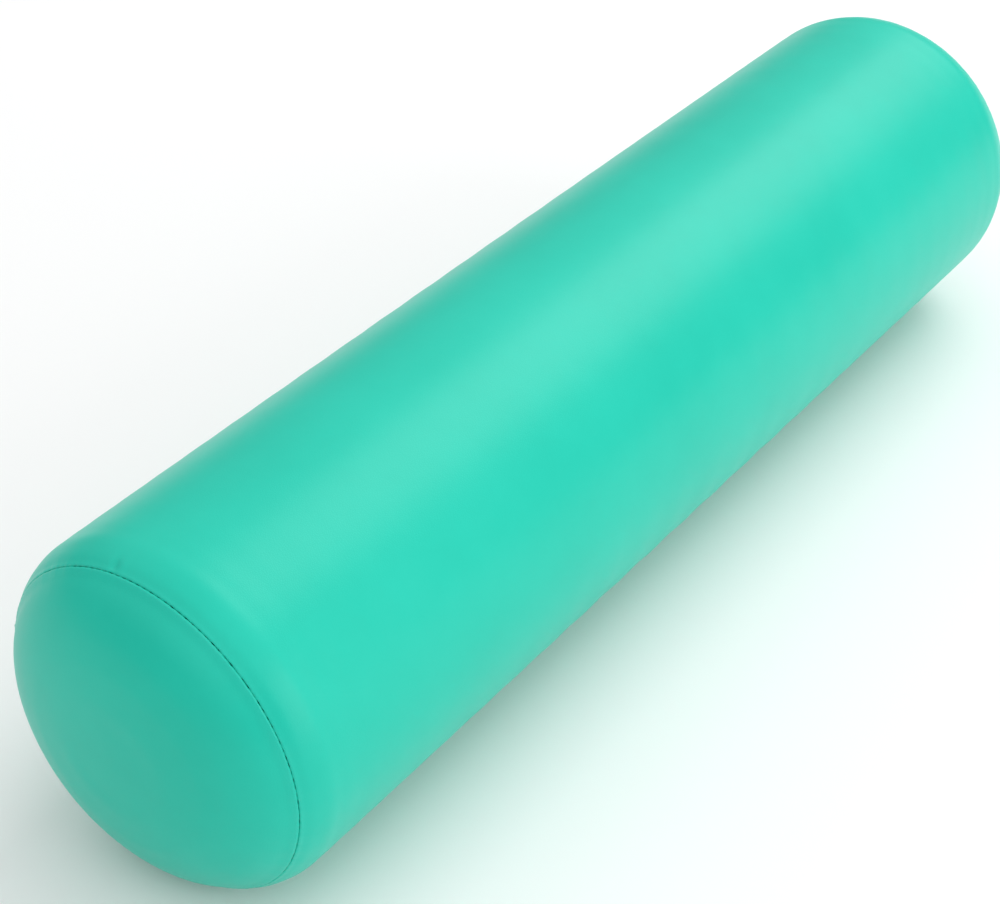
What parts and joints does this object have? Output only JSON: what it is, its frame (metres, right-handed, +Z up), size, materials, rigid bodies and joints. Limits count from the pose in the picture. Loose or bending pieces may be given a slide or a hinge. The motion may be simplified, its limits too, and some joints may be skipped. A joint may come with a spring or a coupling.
{
  "type": "massage bolster",
  "caption": "Round upholstered massage bolster: foam core and wadding in a sewn leatherette cover with domed end discs and a zip along the back.",
  "frame": {"origin": "centre of the flat that the roll rests on, under the middle of its length", "axes": "+X along the roll from its front end to its rear end, +Z up, zip on the +Y side"},
  "size_m": [0.6, 0.1523, 0.149],
  "materials": {
    "foam": "matte",
    "wadding": "matte",
    "leatherette": "satin",
    "thread": "matte",
    "zip_tape": "matte",
    "zip_coil": "satin",
    "zip_metal": "satin"
  },
  "bodies": {
    "roll": {"foam_core": "foam", "wadding_wrap": "wadding", "front_wadding_pad": "wadding", "rear_wadding_pad": "wadding", "barrel_cover": "leatherette", "front_end_disc": "leatherette", "rear_end_disc": "leatherette", "front_seam_thread": "thread", "rear_seam_thread": "thread", "zip_tape_upper": "zip_tape", "zip_tape_lower": "zip_tape", "zip_coil_upper": "zip_coil", "zip_coil_lower": "zip_coil", "zip_top_stops": "zip_metal", "zip_bottom_stop": "zip_metal", "zip_topstitch_upper": "thread", "zip_topstitch_lower": "thread", "front_bartack": "thread", "rear_bartack": "thread"},
    "zip_slider": {"zip_slider_body": "zip_metal"},
    "zip_pull": {"zip_pull_tab": "zip_metal"}
  },
  "joints": [
    {"name": "zip_slide", "type": "slide", "parent": "roll", "child": "zip_slider", "axis": [-1, 0, 0], "range_m": [0, 0.49]},
    {"name": "zip_pull_flip", "type": "hinge", "parent": "zip_slider", "child": "zip_pull", "pos_m": [0.245, 0.07517, 0.08998], "axis": [0, 0.2079, -0.9781], "range_deg": [0, 180]}
  ]
}
